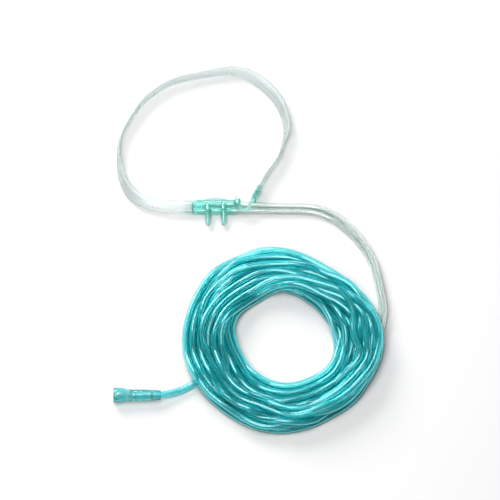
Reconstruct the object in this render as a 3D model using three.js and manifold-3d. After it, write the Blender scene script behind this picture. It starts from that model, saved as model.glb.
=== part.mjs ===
// A nasal oxygen cannula as it lies on a level surface, in millimetres, +Z up.
// The head strap's loop and the nosepiece are centred on the origin, the coiled supply tube lies in front (-Y).
import * as THREE from 'three';
import { mergeVertices } from 'three/addons/utils/BufferGeometryUtils.js';
import { ConvexGeometry } from 'three/addons/geometries/ConvexGeometry.js';
import Module from 'manifold-3d';

const wasm = await Module();
wasm.setup();

// Room left between pieces that touch, and round a piece in its socket
const clearance = 0.3;
const overcut = 1;

// Nosepiece: two barrels side by side along X, the main one at the back
const barrelLeft = -9.6;
const barrelLength = 42.6;
const mainDiameter = 7.6;
const mainAxisY = -55.8;
const mainBore = 4.2;
const solidEndLength = 9;
const sideDiameter = 6.4;
const barrelSpacing = 6;
const sideBore = 3.4;
const sideSetback = 3.4;
const socketDepth = 6;

// Prongs, curved down towards the surface. A taper above 1 keeps them full until near the tip.
const prongSpacing = 13.8;
const prongMiddleX = 10.8;
const prongBaseDiameter = 5.9;
const prongTipDiameter = 3.0;
const prongTaper = 1.8;
const prongBaseBore = 3.2;
const prongTipBore = 1.6;
const prongRootHeight = 5.6;
const prongCrownHeight = 6.6;
const prongTipHeight = 3.4;
const prongReach = 19.8;

// Thin pad along the back of the main barrel
const padLength = 28;
const padRise = 2.4;
const padThickness = 1.4;

// Head strap, a flat band on its edge, and the lug that carries its left end
const strapWidth = 10.5;
const strapThickness = 1.8;
const lugLength = 6;
const lugThickness = 1.8;

// Strap adjuster: a sleeve on the strap's right end with a tapered tail that hooks through the eyelet
const sleeveStart = { x: 49.7, y: -40.5 };
const sleeveHeading = -116.7;
const sleeveLength = 12.5;
const sleeveWidth = 11.5;
const sleeveThickness = 3.6;
const strapInsertion = 6;
const tailDiameter = 3.4;
const tailTipDiameter = 2.2;
const eyeletWall = 1.2;
const eyeletDepth = 2.4;
const eyeletInset = 3.5;
const eyeletTurn = 18;

// Two thin branch tubes and the supply tube
const branchDiameter = 4.8;
const supplyDiameter = 6.2;

// Y fitting under the coil's right edge, which joins the two branch tubes to the supply tube
const fittingStart = { x: 152.5, y: -177.5 };
const fittingHeading = -100;
const fittingLength = 26;
const armLength = 9;
const throatLength = 7;
const armSpacing = 7.2;
const fittingWall = 0.8;
const fittingSocketDepth = 6;
const armBore = 3;
const throatBore = 4;

// Coil of supply tube
const coilCentre = { x: 70.2, y: -188.4 };
const coilOuterRadius = 90;
const coilInnerRadius = 44;
const coilHeight = 20;
const coilFootRadius = 2.5;
const coilShoulderRadius = 8;
const notchLead = 26;

// Supply connector, mouth towards -X
const mouthX = -78.8;
const connectorY = -241.8;
const connectorLength = 41.4;
const flareDiameter = 12.8;
const flareLength = 11;
const neckDiameter = 10;
const neckX = 12.6;
const ringDiameter = 11;
const ringPitch = 5.8;
const ringCount = 3;
const barrelEndDiameter = 8.2;
const mouthBore = 9.4;
const mouthBoreEnd = 8;
const mouthDepth = 15;
const throughBore = 4.6;
const connectorSocketDepth = 9;

const barrelRight = barrelLeft + barrelLength;
const mainAxisZ = mainDiameter / 2;
const eyeletX = barrelRight - eyeletInset;
const sideRight = barrelRight - sideSetback;
const sideAxisY = mainAxisY - barrelSpacing;
const sideAxisZ = sideDiameter / 2;
const strapAxisZ = Math.hypot(strapWidth, strapThickness) / 2;
const lugY = (mainAxisY + mainDiameter / 2 + sideAxisY - sideDiameter / 2) / 2;
const lugTop = strapAxisZ - strapThickness / 2 - clearance;
const sleeveAlong = headingVector(sleeveHeading);
const tailZ = mainDiameter + clearance + tailDiameter / 2;
const armDiameter = branchDiameter + 2 * clearance + 2 * fittingWall;
const stemDiameter = supplyDiameter + 2 * clearance + 2 * fittingWall;
const fittingAxisZ = stemDiameter / 2;
const connectorAxisZ = flareDiameter / 2;
const tubeSides = 10;

// Strap route from the lug clockwise to the adjuster, as x, y and lean in degrees. A positive lean is inwards.
const strapEnd = {
  x: sleeveStart.x + sleeveAlong.x * (strapInsertion - clearance),
  y: sleeveStart.y + sleeveAlong.y * (strapInsertion - clearance),
};
const strapRoute = [
  [barrelLeft - clearance, lugY, 90],
  [barrelLeft - clearance - 8, lugY, 90],
  [barrelLeft - clearance - 16, lugY, 82],
  [-38.3, -57.6, 72],
  [-51.5, -54.0, 66],
  [-60.6, -48.3, 58],
  [-67.6, -39.8, 42],
  [-73.0, -25.4, 24],
  [-74.7, -8.8, 12],
  [-73.4, 6.5, 10],
  [-68.0, 20.4, 8],
  [-56.2, 39.7, 4],
  [-47.2, 49.4, 2],
  [-26.8, 63.2, 0],
  [2.2, 70.5, -4],
  [18.9, 73.4, -14],
  [28.5, 72.8, -26],
  [41.5, 68.9, -40],
  [57.2, 56.2, -48],
  [67.6, 41.6, -42],
  [72.7, 25.2, -32],
  [73.3, 14.5, -26],
  [71.2, 5.6, -18],
  [65.3, -13.0, -4],
  [sleeveStart.x - sleeveAlong.x * 13, sleeveStart.y - sleeveAlong.y * 13, 0],
  [strapEnd.x - sleeveAlong.x * 8, strapEnd.y - sleeveAlong.y * 8, 0],
  [strapEnd.x, strapEnd.y, 0],
];

// Routes of the free tubes, as x, y and z of the centreline
const upperBranchRoute = [
  [27.4, -55.8, 3.8], [33.0, -55.8, 3.8], [39.0, -55.9, 3.75], [45.0, -56.1, 3.5], [53.0, -56.5, 3.0],
  [63.0, -56.8, 2.6], [75.0, -56.9, 2.5], [86.2, -57.0, 2.5], [95.8, -57.9, 2.8], [103.6, -59.9, 3.5],
  [111.4, -63.6, 4.6], [118.1, -68.0, 5.4], [124.5, -74.1, 6.1], [135.2, -86.2, 6.8], [144.5, -100.5, 7.1],
  [150.6, -114.6, 7.2], [154.2, -129.7, 7.2], [157.3, -145.1, 7.2], [158.9, -156.0, 7.1], [158.9, -164.4, 6.7],
  [158.2, -171.0, 5.7], [157.1, -175.0, 4.7], [156.05, -178.1, 4.25], [155.2, -182.9, 4.2],
];
const lowerBranchRoute = [
  [23.9, -61.8, 3.2], [29.6, -61.8, 3.2], [36.0, -61.8, 3.15], [43.0, -61.8, 2.9], [53.0, -61.8, 2.6],
  [63.0, -61.9, 2.45], [75.0, -62.0, 2.45], [86.0, -62.1, 2.45], [95.0, -62.9, 2.45], [102.0, -64.6, 2.45],
  [109.3, -67.8, 2.45], [115.6, -71.5, 2.45], [122.0, -76.8, 2.45], [133.0, -88.0, 2.45], [142.4, -101.7, 2.45],
  [148.5, -115.3, 2.45], [152.2, -130.2, 2.45], [155.2, -145.4, 2.45], [156.2, -156.0, 2.45], [154.9, -164.5, 2.6],
  [152.3, -170.8, 3.2], [150.1, -174.5, 4.0], [148.95, -176.9, 4.2], [148.1, -181.8, 4.2],
];
const supplyTailRoute = [
  [-10.2, -230.4, 3.15], [-16.0, -234.0, 3.15], [-22.5, -236.8, 3.5], [-29.5, -239.4, 4.5],
  [-34.0, -241.0, 5.6], [-38.2, -241.8, 6.3], [-40.5, -241.8, 6.4], [-45.9, -241.8, 6.4],
];

// Unit vector in the ground plane, for a heading in degrees anticlockwise from +X
function headingVector(degrees) {
  const angle = THREE.MathUtils.degToRad(degrees);
  return new THREE.Vector3(Math.cos(angle), Math.sin(angle), 0);
}

function vectors(points) {
  return points.map(([x, y, z]) => new THREE.Vector3(x, y, z));
}

// A closed geometry as a solid that can be joined and cut
function solid(geometry) {
  const bare = geometry.clone();
  bare.deleteAttribute('normal');
  bare.deleteAttribute('uv');
  const merged = mergeVertices(bare, 1e-4);
  return new wasm.Manifold(new wasm.Mesh({
    numProp: 3,
    vertProperties: new Float32Array(merged.attributes.position.array),
    triVerts: new Uint32Array(merged.index.array),
  }));
}

function geometryOf(body) {
  const mesh = body.getMesh();
  const geometry = new THREE.BufferGeometry();
  geometry.setAttribute('position', new THREE.BufferAttribute(mesh.vertProperties, mesh.numProp));
  geometry.setIndex(new THREE.BufferAttribute(mesh.triVerts, 1));
  geometry.computeVertexNormals();
  return geometry;
}

// Closed solid along a curve. cornersAt(t) lists the section's corners as [side, up] pairs, side being to the right.
function loft(curve, steps, cornersAt) {
  const zAxis = new THREE.Vector3(0, 0, 1);
  const corners = cornersAt(0).length;
  const positions = [];
  const index = [];
  for (let i = 0; i <= steps; i++) {
    const t = i / steps;
    const centre = curve.getPointAt(t);
    const along = curve.getTangentAt(t);
    const side = new THREE.Vector3().crossVectors(along, zAxis).normalize();
    const up = new THREE.Vector3().crossVectors(side, along);
    for (const [s, u] of cornersAt(t)) {
      positions.push(...centre.clone().addScaledVector(side, s).addScaledVector(up, u).toArray());
    }
  }
  for (let i = 0; i < steps; i++) {
    for (let j = 0; j < corners; j++) {
      const a = i * corners + j;
      const b = i * corners + (j + 1) % corners;
      index.push(a, a + corners, b, b, a + corners, b + corners);
    }
  }
  const last = steps * corners;
  for (let j = 1; j < corners - 1; j++) {
    index.push(0, j, j + 1, last, last + j + 1, last + j);
  }
  const geometry = new THREE.BufferGeometry();
  geometry.setAttribute('position', new THREE.Float32BufferAttribute(positions, 3));
  geometry.setIndex(index);
  geometry.computeVertexNormals();
  return geometry;
}

function circleCorners(radius, sides) {
  return Array.from({ length: sides }, (_, j) => {
    const angle = 2 * Math.PI * (j + 0.5) / sides;
    return [radius * Math.cos(angle), radius * Math.sin(angle)];
  });
}

// Round tapering solid along a curve. A power above 1 puts most of the taper near its end.
function taper(curve, startRadius, endRadius, steps, sides, power = 1) {
  const radiusAt = (t) => THREE.MathUtils.lerp(startRadius, endRadius, t ** power);
  return loft(curve, steps, (t) => circleCorners(radiusAt(t), sides));
}

// Tube outline along a free route, as a plain closed solid
function freeTube(route, diameter, steps) {
  const section = new THREE.Shape().absarc(0, 0, diameter / 2, 0, 2 * Math.PI);
  return new THREE.ExtrudeGeometry(section, {
    curveSegments: tubeSides,
    steps,
    extrudePath: new THREE.CatmullRomCurve3(vectors(route)),
  });
}

// Cylinder from x0 to x1 along X, turned so that a flat side faces down
function rodAlongX(x0, x1, y, z, radius, sides = 24) {
  return new THREE.CylinderGeometry(radius, radius, x1 - x0, sides)
    .rotateY(Math.PI / sides)
    .rotateZ(-Math.PI / 2)
    .translate((x0 + x1) / 2, y, z);
}

function block(x0, x1, y0, y1, z0, z1) {
  return new THREE.BoxGeometry(x1 - x0, y1 - y0, z1 - z0)
    .translate((x0 + x1) / 2, (y0 + y1) / 2, (z0 + z1) / 2);
}

// Barrel with a rounded closed end on its left and a flat right end
function closedBarrel(x0, x1, y, diameter) {
  const radius = diameter / 2;
  const arc = new THREE.Path().absarc(0, radius, radius, -Math.PI / 2, 0).getPoints(6);
  const profile = [...arc, new THREE.Vector2(radius, x1 - x0), new THREE.Vector2(0, x1 - x0)];
  const sides = 24;
  return new THREE.LatheGeometry(profile, sides)
    .rotateY(Math.PI / sides)
    .rotateZ(-Math.PI / 2)
    .translate(x0, y, radius);
}

function prongCurve(x) {
  return new THREE.CatmullRomCurve3(vectors([
    [x, mainAxisY, prongRootHeight],
    [x, mainAxisY - prongReach * 0.4, prongCrownHeight],
    [x, mainAxisY - prongReach * 0.72, (prongCrownHeight + prongTipHeight) / 2 + 0.3],
    [x, mainAxisY - prongReach, prongTipHeight],
  ]));
}

// Thin arched plate behind the main barrel, at the height of its axis
function backPad() {
  const back = mainAxisY + mainDiameter / 2;
  const outline = new THREE.Shape();
  outline.moveTo(prongMiddleX - padLength / 2, mainAxisY);
  outline.lineTo(prongMiddleX + padLength / 2, mainAxisY);
  outline.lineTo(prongMiddleX + padLength / 2, back - 1);
  outline.quadraticCurveTo(prongMiddleX, back + 2 * padRise, prongMiddleX - padLength / 2, back - 1);
  return new THREE.ExtrudeGeometry(outline, { depth: padThickness, bevelEnabled: false, curveSegments: 14 })
    .translate(0, 0, mainAxisZ - padThickness / 2);
}

// Small bridge on the main barrel's right end, with a hole for the adjuster's tail
function eyelet(outer) {
  const hole = tailDiameter + 2 * clearance;
  const width = outer ? hole + 2 * eyeletWall : hole;
  const depth = outer ? eyeletDepth : eyeletDepth + 2 * overcut;
  const bottom = outer ? mainAxisZ : tailZ - hole / 2;
  const top = outer ? tailZ + hole / 2 + eyeletWall : tailZ + hole / 2;
  return block(-width / 2, width / 2, -depth / 2, depth / 2, bottom, top)
    .rotateZ(THREE.MathUtils.degToRad(eyeletTurn))
    .translate(eyeletX, mainAxisY, 0);
}

function nosepiece() {
  let body = solid(closedBarrel(barrelLeft, barrelRight, mainAxisY, mainDiameter))
    .add(solid(closedBarrel(barrelLeft - 0.6, sideRight, sideAxisY, sideDiameter)))
    .add(solid(backPad()))
    .add(solid(eyelet(true)))
    .add(solid(block(barrelLeft - clearance - lugLength, barrelLeft + mainDiameter / 2,
      lugY - strapWidth / 2, lugY + strapWidth / 2, lugTop - lugThickness, lugTop)));
  const prongXs = [prongMiddleX - prongSpacing / 2, prongMiddleX + prongSpacing / 2];
  for (const x of prongXs) {
    body = body.add(solid(taper(prongCurve(x), prongBaseDiameter / 2, prongTipDiameter / 2, 12, 16, prongTaper)));
  }
  for (const x of prongXs) {
    const bore = prongCurve(x);
    const tip = bore.getPointAt(1).addScaledVector(bore.getTangentAt(1), overcut);
    bore.points.push(tip);
    bore.updateArcLengths();
    body = body.subtract(solid(taper(bore, prongBaseBore / 2, prongTipBore / 2, 10, 12)));
  }
  const socket = branchDiameter / 2 + clearance;
  const clearOfEnds = barrelRight + 2 * overcut;
  return geometryOf(body
    .subtract(solid(rodAlongX(barrelLeft + solidEndLength, clearOfEnds, mainAxisY, mainAxisZ, mainBore / 2, 16)))
    .subtract(solid(rodAlongX(barrelRight - socketDepth, clearOfEnds, mainAxisY, mainAxisZ, socket, 20)))
    .subtract(solid(rodAlongX(barrelLeft + sideAxisZ, clearOfEnds, sideAxisY, sideAxisZ, sideBore / 2, 16)))
    .subtract(solid(rodAlongX(sideRight - socketDepth, clearOfEnds, sideAxisY, sideAxisZ, socket, 20)))
    .subtract(solid(eyelet(false))));
}

function headStrap() {
  const curve = new THREE.CatmullRomCurve3(strapRoute.map(([x, y]) => new THREE.Vector3(x, y, strapAxisZ)));
  const lean = new THREE.CatmullRomCurve3(strapRoute.map(([, , degrees]) => new THREE.Vector3(degrees, 0, 0)),
    false, 'catmullrom', 0.5);
  curve.arcLengthDivisions = 600;
  return loft(curve, 90, (t) => {
    const angle = THREE.MathUtils.degToRad(lean.getPoint(curve.getUtoTmapping(t)).x);
    const cos = Math.cos(angle);
    const sin = Math.sin(angle);
    const s = strapThickness / 2;
    const u = strapWidth / 2;
    return [[s, -u], [s, u], [-s, u], [-s, -u]].map(([a, b]) => [a * cos + b * sin, b * cos - a * sin]);
  });
}

function tailCurve() {
  const start = new THREE.Vector3(sleeveStart.x, sleeveStart.y, tailZ)
    .addScaledVector(sleeveAlong, sleeveLength - 4);
  const through = headingVector(90 + eyeletTurn);
  const eye = new THREE.Vector3(eyeletX, mainAxisY, tailZ);
  return new THREE.CatmullRomCurve3([
    start,
    start.clone().addScaledVector(sleeveAlong, 5),
    new THREE.Vector3(41.4, -57.5, tailZ),
    new THREE.Vector3(39.2, -62.2, tailZ - 0.4),
    new THREE.Vector3(36.6, -64.9, tailZ - 0.6),
    new THREE.Vector3(34.2, -62.9, tailZ - 0.2),
    eye.clone().addScaledVector(through, -3),
    eye,
    eye.clone().addScaledVector(through, 4.6),
  ]);
}

function strapAdjuster() {
  const heading = THREE.MathUtils.degToRad(sleeveHeading);
  const place = (geometry) => geometry.rotateZ(heading).translate(sleeveStart.x, sleeveStart.y, 0);
  const sleeve = place(block(0, sleeveLength, -sleeveThickness / 2, sleeveThickness / 2, 0, sleeveWidth));
  const pocketHalf = strapThickness / 2 + clearance;
  const pocket = place(block(-overcut, strapInsertion, -pocketHalf, pocketHalf,
    strapAxisZ - strapWidth / 2 - clearance, strapAxisZ + strapWidth / 2 + clearance));
  const tail = taper(tailCurve(), tailDiameter / 2, tailTipDiameter / 2, 30, 8);
  return geometryOf(solid(sleeve).subtract(solid(pocket)).add(solid(tail)));
}

// The fitting's own frame has X along it, its centreline at height 0
function placeFitting(geometry) {
  return geometry
    .rotateZ(THREE.MathUtils.degToRad(fittingHeading))
    .translate(fittingStart.x, fittingStart.y, fittingAxisZ);
}

function yFitting() {
  const arms = [-armSpacing / 2, armSpacing / 2];
  const stemStart = armLength + throatLength;
  const armRadius = armDiameter / 2;
  const stemRadius = stemDiameter / 2;
  const armEnds = arms.map((y) => rodAlongX(armLength - 2, armLength, y, 0, armRadius, 16));
  const stemEnd = rodAlongX(stemStart, stemStart + 2, 0, 0, stemRadius, 20);
  const corners = [...armEnds, stemEnd].flatMap((g) => {
    const p = g.attributes.position;
    return Array.from({ length: p.count }, (_, i) => new THREE.Vector3().fromBufferAttribute(p, i));
  });
  let body = solid(new ConvexGeometry(corners))
    .add(solid(rodAlongX(stemStart, fittingLength, 0, 0, stemRadius, 20)));
  for (const y of arms) {
    body = body.add(solid(rodAlongX(0, armLength, y, 0, armRadius, 16)));
  }
  for (const y of arms) {
    const bore = new THREE.LineCurve3(new THREE.Vector3(1, y, 0), new THREE.Vector3(stemStart + 1, 0, 0));
    body = body
      .subtract(solid(rodAlongX(-overcut, fittingSocketDepth, y, 0, branchDiameter / 2 + clearance, 16)))
      .subtract(solid(taper(bore, armBore / 2, armBore / 2, 1, 12)));
  }
  body = body
    .subtract(solid(rodAlongX(stemStart, fittingLength + overcut, 0, 0, throatBore / 2, 12)))
    .subtract(solid(rodAlongX(fittingLength - fittingSocketDepth, fittingLength + overcut, 0, 0,
      supplyDiameter / 2 + clearance, 20)));
  return placeFitting(geometryOf(body));
}

// Ring of the coil's outer shape, with a notch under its right edge for the fitting
function supplyCoil() {
  const [r0, r1, foot, shoulder] = [coilInnerRadius, coilOuterRadius, coilFootRadius, coilShoulderRadius];
  const outline = new THREE.Shape();
  outline.moveTo(r0 + foot, 0);
  outline.lineTo(r1 - foot, 0);
  outline.quadraticCurveTo(r1, 0, r1, foot);
  outline.lineTo(r1, coilHeight - shoulder);
  outline.quadraticCurveTo(r1, coilHeight, r1 - shoulder, coilHeight);
  outline.lineTo(r0 + shoulder, coilHeight);
  outline.quadraticCurveTo(r0, coilHeight, r0, coilHeight - shoulder);
  outline.lineTo(r0, foot);
  outline.quadraticCurveTo(r0, 0, r0 + foot, 0);
  const ring = new THREE.LatheGeometry(outline.getPoints(3), 60)
    .rotateX(Math.PI / 2)
    .translate(coilCentre.x, coilCentre.y, 0);
  const halfWidth = (armSpacing + armDiameter) / 2 + 2 * clearance;
  const notch = placeFitting(block(-notchLead, fittingLength + clearance, -halfWidth, 3 * halfWidth,
    -fittingAxisZ - overcut, fittingAxisZ + 2 * clearance));
  return geometryOf(solid(ring).subtract(solid(notch)));
}

function supplyConnector() {
  const flare = flareDiameter / 2;
  const neck = neckDiameter / 2;
  const outer = [
    [0, flare - 0.5],
    [0.6, flare],
    [flareLength * 0.55, flare - 0.1],
    [flareLength, neck + 0.35],
    [neckX, neck - 0.2],
  ];
  const ringsStart = neckX + 1;
  for (let i = 0; i < ringCount; i++) {
    const x = ringsStart + i * ringPitch;
    outer.push([x, neck - 0.2], [x + 0.5, ringDiameter / 2 - i * 0.12], [x + 1.6, ringDiameter / 2 - i * 0.12],
      [x + 2.1, neck - 0.3]);
  }
  outer.push([ringsStart + ringCount * ringPitch, neck - 0.3], [connectorLength - 0.5, barrelEndDiameter / 2],
    [connectorLength, barrelEndDiameter / 2 - 0.3]);
  const socket = supplyDiameter / 2 + clearance;
  const inner = [
    [connectorLength, socket],
    [connectorLength - connectorSocketDepth, socket],
    [connectorLength - connectorSocketDepth, throughBore / 2],
    [mouthDepth, throughBore / 2],
    [mouthDepth, mouthBoreEnd / 2],
    [0, mouthBore / 2],
  ];
  const profile = [...outer, ...inner, outer[0]].map(([x, r]) => new THREE.Vector2(r, x));
  const sides = 28;
  return new THREE.LatheGeometry(profile, sides)
    .rotateY(Math.PI / sides)
    .rotateZ(-Math.PI / 2)
    .translate(mouthX, connectorY, connectorAxisZ);
}

// Soft clear PVC, and the tinted PVC of the moulded pieces
function plastic(color, opacity = 1) {
  return new THREE.MeshStandardMaterial({ color, roughness: 0.25, metalness: 0, transparent: opacity < 1, opacity });
}

const clearPvc = plastic(0xcfe4e0, 0.75);
const tintedPvc = plastic(0x4fc4bd, 0.9);
const tubePvc = plastic(0x58bcb8, 0.85);

function part(name, geometry, material) {
  const mesh = new THREE.Mesh(geometry, material);
  mesh.name = name;
  return mesh;
}

const cannula = new THREE.Group();
cannula.add(
  part('nosepiece', nosepiece(), tintedPvc),
  part('head_strap', headStrap(), clearPvc),
  part('strap_adjuster', strapAdjuster(), tintedPvc),
  part('branch_tube_upper', freeTube(upperBranchRoute, branchDiameter, 46), clearPvc),
  part('branch_tube_lower', freeTube(lowerBranchRoute, branchDiameter, 46), clearPvc),
  part('y_fitting', yFitting(), tintedPvc),
  part('supply_coil', supplyCoil(), tubePvc),
  part('supply_tube_end', freeTube(supplyTailRoute, supplyDiameter, 14), tubePvc),
  part('supply_connector', supplyConnector(), tintedPvc),
);

export default cannula;
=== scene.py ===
"""Looks of a nasal oxygen cannula that lies coiled on a level surface.

Lengths in the classes are millimetres; meshes are made in metres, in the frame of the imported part.
"""
import logging
import math
from dataclasses import dataclass
from enum import Enum

import bmesh
import bpy
import numpy as np
from bmesh.types import BMEdge, BMesh, BMVert
from bpy.types import Material, Mesh, Node, NodeTree, Object
from mathutils import Matrix, Vector


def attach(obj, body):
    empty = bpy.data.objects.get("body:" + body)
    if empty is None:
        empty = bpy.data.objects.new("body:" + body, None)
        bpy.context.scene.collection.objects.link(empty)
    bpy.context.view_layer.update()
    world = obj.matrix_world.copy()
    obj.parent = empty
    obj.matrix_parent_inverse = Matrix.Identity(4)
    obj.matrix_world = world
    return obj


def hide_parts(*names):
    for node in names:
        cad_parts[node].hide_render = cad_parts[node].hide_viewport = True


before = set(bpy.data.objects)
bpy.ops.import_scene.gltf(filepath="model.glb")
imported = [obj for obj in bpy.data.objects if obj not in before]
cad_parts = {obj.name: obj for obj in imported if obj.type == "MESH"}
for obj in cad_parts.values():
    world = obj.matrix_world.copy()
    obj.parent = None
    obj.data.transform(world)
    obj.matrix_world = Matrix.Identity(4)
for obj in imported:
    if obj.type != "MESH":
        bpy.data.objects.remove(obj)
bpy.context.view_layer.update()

LOG = logging.getLogger("cannula")
MM = 0.001
BODY = "root"
X_AXIS = Vector((1.0, 0.0, 0.0))
UP = Vector((0.0, 0.0, 1.0))


class Slot(Enum):
    """The record's material slots."""

    CLEAR = "clear_pvc"
    TINTED = "tinted_pvc"
    TUBE = "tube_pvc"


def smooth_line(points: list, spacing: float) -> np.ndarray:
    """Even points on a Catmull-Rom line.

    Args:
        points: Knots as rows of numbers, the first three of them x, y and z in mm.
        spacing: Distance between the points returned, in mm.

    Returns:
        The points as rows, with the further columns carried along.
    """
    knots = np.array(points, float)
    knots = np.vstack([2 * knots[0] - knots[1], knots, 2 * knots[-1] - knots[-2]])
    share = np.linspace(0, 1, 24, endpoint=False)[:, None]
    fine = []
    for a, b, c, d in zip(knots[:-3], knots[1:-2], knots[2:-1], knots[3:]):
        fine.append(
            0.5
            * (
                2 * b
                + (c - a) * share
                + (2 * a - 5 * b + 4 * c - d) * share**2
                + (3 * b - a - 3 * c + d) * share**3
            )
        )
    fine.append(knots[-2][None])
    return even_points(np.vstack(fine), spacing)


def even_points(line: np.ndarray, spacing: float) -> np.ndarray:
    """The same line with its points about spacing apart, in mm."""
    steps = np.linalg.norm(np.diff(line[:, :3], axis=0), axis=1)
    along = np.concatenate([[0.0], np.cumsum(steps)])
    wanted = np.linspace(0, along[-1], int(round(along[-1] / spacing)) + 1)
    columns = [np.interp(wanted, along, line[:, k]) for k in range(line.shape[1])]
    return np.stack(columns, axis=1)


def line_length(line: np.ndarray) -> float:
    """Length of a line of points, in the points' unit."""
    return float(np.linalg.norm(np.diff(line[:, :3], axis=0), axis=1).sum())


def heading(degrees: float) -> Vector:
    """Unit vector in the ground plane, anticlockwise from +X."""
    angle = math.radians(degrees)
    return Vector((math.cos(angle), math.sin(angle), 0.0))


def section_frames(
    line: np.ndarray, lean: np.ndarray | None = None, size: np.ndarray | None = None
) -> list[Matrix]:
    """Frames that carry a section drawn in the XY plane along a line.

    Args:
        line: Centre points in mm.
        lean: Degrees that the section's top leans to the right of the way it goes, per point.
        size: Factor on the section per point.

    Returns:
        One matrix per point, in metres: X to the right, Y up, Z along the line.
    """
    tangents = np.gradient(line[:, :3], axis=0)
    frames = []
    for i, (point, tangent) in enumerate(zip(line[:, :3], tangents)):
        along = Vector(tangent).normalized()
        side = along.cross(UP).normalized()
        top = side.cross(along)
        axes = Matrix((side, top, -along)).transposed().to_4x4()
        turn = Matrix.Rotation(-math.radians(lean[i]) if lean is not None else 0.0, 4, "Z")
        scale = Matrix.Scale(size[i] if size is not None else 1.0, 4)
        frames.append(Matrix.Translation(Vector(point) * MM) @ axes @ turn @ scale)
    return frames


def new_object(name: str, mesh: Mesh) -> Object:
    """A linked object at the origin."""
    piece = bpy.data.objects.new(name, mesh)
    bpy.context.scene.collection.objects.link(piece)
    return piece


def mesh_of(bm: BMesh, name: str) -> Mesh:
    """Turns a bmesh into a mesh with outward normals and smooth faces, and frees it."""
    bmesh.ops.recalc_face_normals(bm, faces=bm.faces)
    mesh = bpy.data.meshes.new(name)
    bm.to_mesh(mesh)
    bm.free()
    mesh.shade_smooth()
    return mesh


def applied(piece: Object) -> Object:
    """Applies all modifiers of a piece to its mesh."""
    bpy.context.view_layer.update()
    evaluated = piece.evaluated_get(bpy.context.evaluated_depsgraph_get())
    mesh = bpy.data.meshes.new_from_object(evaluated)
    piece.modifiers.clear()
    old = piece.data
    piece.data = mesh
    bpy.data.meshes.remove(old)
    return piece


def sweep(bm: BMesh, outline: list, frames: list[Matrix]) -> None:
    """Sweeps a closed outline through frames and closes both ends.

    Args:
        bm: The bmesh that gets the solid.
        outline: Corners of the section as (x, y) in mm.
        frames: Where the section goes, from section_frames().
    """
    verts = [bm.verts.new((x * MM, y * MM, 0.0)) for x, y in outline]
    first = bm.faces.new(verts)
    bmesh.ops.transform(bm, matrix=frames[0], verts=verts)
    ring = list(first.edges)
    for before, after in zip(frames[:-1], frames[1:]):
        made = bmesh.ops.extrude_edge_only(bm, edges=ring)["geom"]
        moved = [v for v in made if isinstance(v, BMVert)]
        ring = [e for e in made if isinstance(e, BMEdge)]
        bmesh.ops.transform(bm, matrix=after @ before.inverted(), verts=moved)
    bmesh.ops.contextual_create(bm, geom=ring)


def circle_outline(radius: float, corners: int) -> list:
    """Corners of a circle as (x, y)."""
    turn = 2 * math.pi / corners
    return [(radius * math.cos(turn * i), radius * math.sin(turn * i)) for i in range(corners)]


def turned(bm: BMesh, profile: list, axis_point: Vector, steps: int) -> None:
    """Turns a profile of (x, radius) in mm about a line along X through axis_point."""
    verts = [bm.verts.new((x * MM, axis_point.y, axis_point.z + r * MM)) for x, r in profile]
    edges = [bm.edges.new(pair) for pair in zip(verts[:-1], verts[1:])]
    bmesh.ops.spin(
        bm, geom=verts + edges, cent=axis_point, axis=X_AXIS, dvec=(0, 0, 0),
        angle=2 * math.pi, steps=steps, use_merge=True, use_duplicate=False,
    )
    bmesh.ops.remove_doubles(bm, verts=bm.verts, dist=0.00001)


def rounded_block(bm: BMesh, size: tuple, place: Matrix, edge: float) -> None:
    """A block of size (x, y, z) in mm with rounded edges, put at place."""
    made = bmesh.ops.create_cube(bm, size=1.0)["verts"]
    bmesh.ops.scale(bm, vec=Vector(size) * MM, verts=made)
    if edge > 0:
        edges = list({e for v in made for e in v.link_edges})
        made = bmesh.ops.bevel(
            bm, geom=edges, offset=edge * MM, offset_type="OFFSET", affect="EDGES",
            segments=4, profile=0.5, material=-1,
        )["verts"]
    bmesh.ops.transform(bm, matrix=place, verts=linked(made))


def linked(verts: list) -> list:
    """Every vertex joined by edges to the given ones."""
    found, todo = set(verts), list(verts)
    while todo:
        for edge in todo.pop().link_edges:
            for vert in edge.verts:
                if vert not in found:
                    found.add(vert)
                    todo.append(vert)
    return list(found)


def straight_rod(bm: BMesh, start: Vector, end: Vector, radius: float, corners: int = 32) -> None:
    """A closed rod from start to end, in mm."""
    line = np.array([start, end], float)
    sweep(bm, circle_outline(radius, corners), section_frames(line))


def moulded(name: str, solids: list, hollows: list, voxel: float, softening: int) -> Object:
    """Joins solids, cuts hollows and softens all edges as a mould does.

    Args:
        name: Name of the piece.
        solids: bmeshes of the closed solids to join.
        hollows: bmeshes of the closed solids to cut away.
        voxel: Grain of the new surface in mm.
        softening: Rounds of smoothing, which set the fillets.

    Returns:
        The finished piece.
    """
    piece = new_object(name, mesh_of(solids[0], name))
    helpers = []
    for operation, shapes in (("UNION", solids[1:]), ("DIFFERENCE", hollows)):
        for shape in shapes:
            helper = new_object(name + "_tool", mesh_of(shape, name + "_tool"))
            helpers.append(helper)
            cut = piece.modifiers.new("cut", "BOOLEAN")
            cut.operation = operation
            cut.solver = "EXACT"
            cut.object = helper
    remesh = piece.modifiers.new("grain", "REMESH")
    remesh.mode = "VOXEL"
    remesh.voxel_size = voxel * MM
    remesh.use_smooth_shade = True
    smooth = piece.modifiers.new("fillets", "SMOOTH")
    smooth.factor = 0.5
    smooth.iterations = softening
    applied(piece)
    for helper in helpers:
        bpy.data.objects.remove(helper)
    piece.data.shade_smooth()
    return piece


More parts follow.
